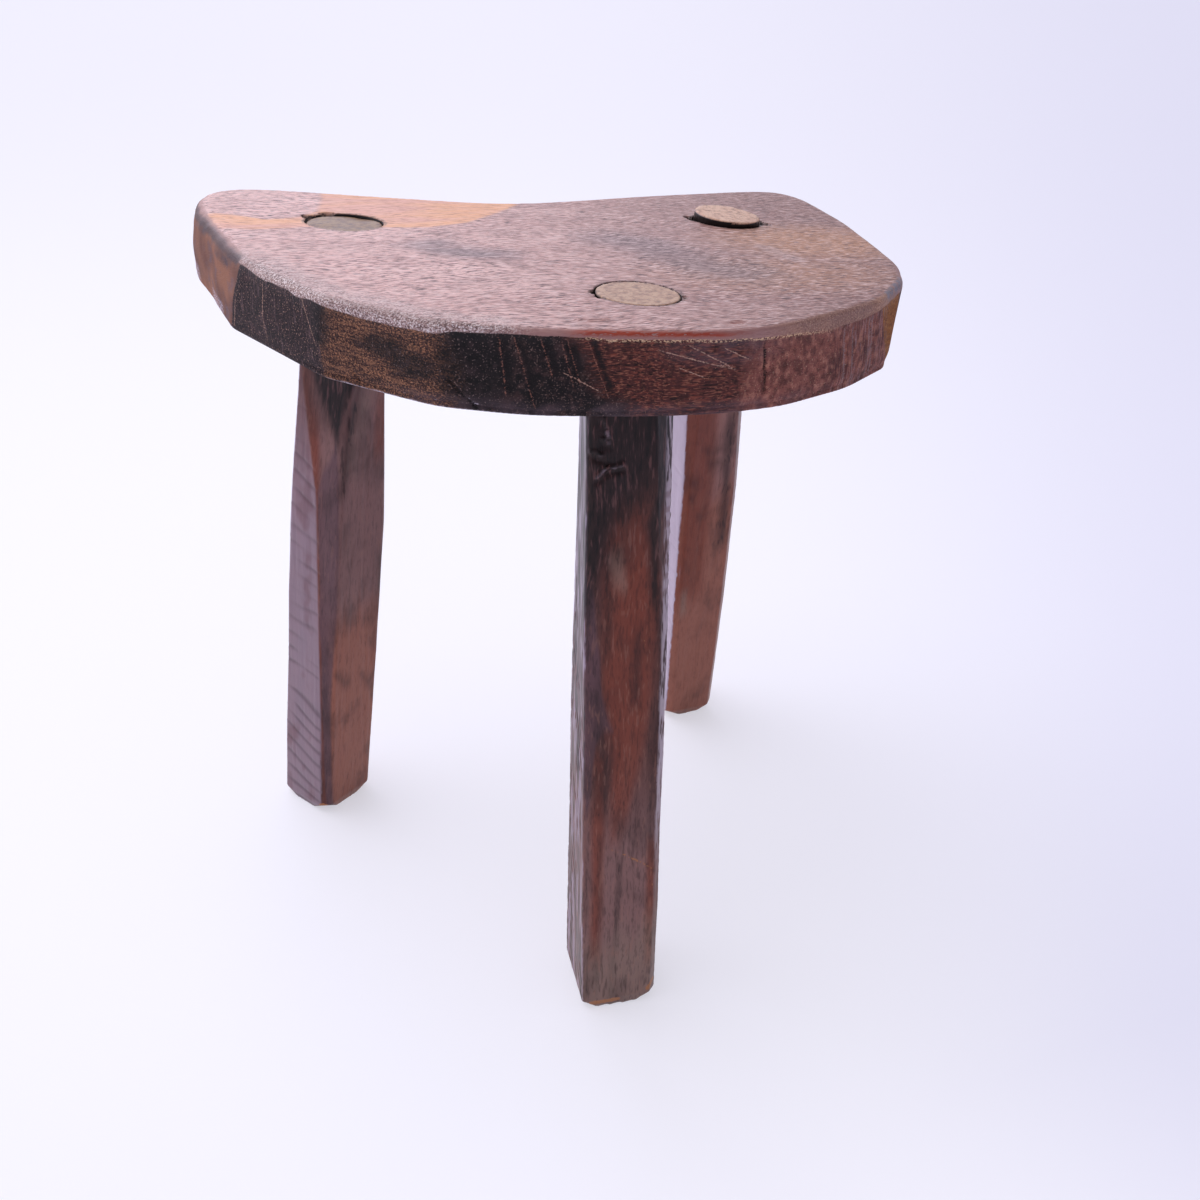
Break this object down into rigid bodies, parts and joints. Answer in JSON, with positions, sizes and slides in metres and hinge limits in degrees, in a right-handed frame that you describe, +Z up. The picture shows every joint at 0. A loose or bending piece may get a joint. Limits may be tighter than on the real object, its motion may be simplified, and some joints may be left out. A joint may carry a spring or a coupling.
{
  "type": "milking stool",
  "caption": "Low hewn hardwood milking stool: half-moon seat slab with a hollow back edge on splayed square legs, their round through-tenons showing in the top.",
  "frame": {"origin": "middle of the footprint's box, on the ground", "axes": "+Z up, +X along the seat from its left horn to its right horn, +Y towards the hollow back edge, away from the front leg"},
  "size_m": [0.3159, 0.2588, 0.3103],
  "materials": {
    "seat_wood": "worn, dry brown hardwood with a pinkish bloom and dark hewn sides",
    "leg_wood": "dark red-brown hardwood, hewn and waxed by use"
  },
  "bodies": {
    "root": {"seat": "seat_wood", "leg_front": "leg_wood", "leg_left": "leg_wood", "leg_right": "leg_wood"}
  },
  "joints": []
}
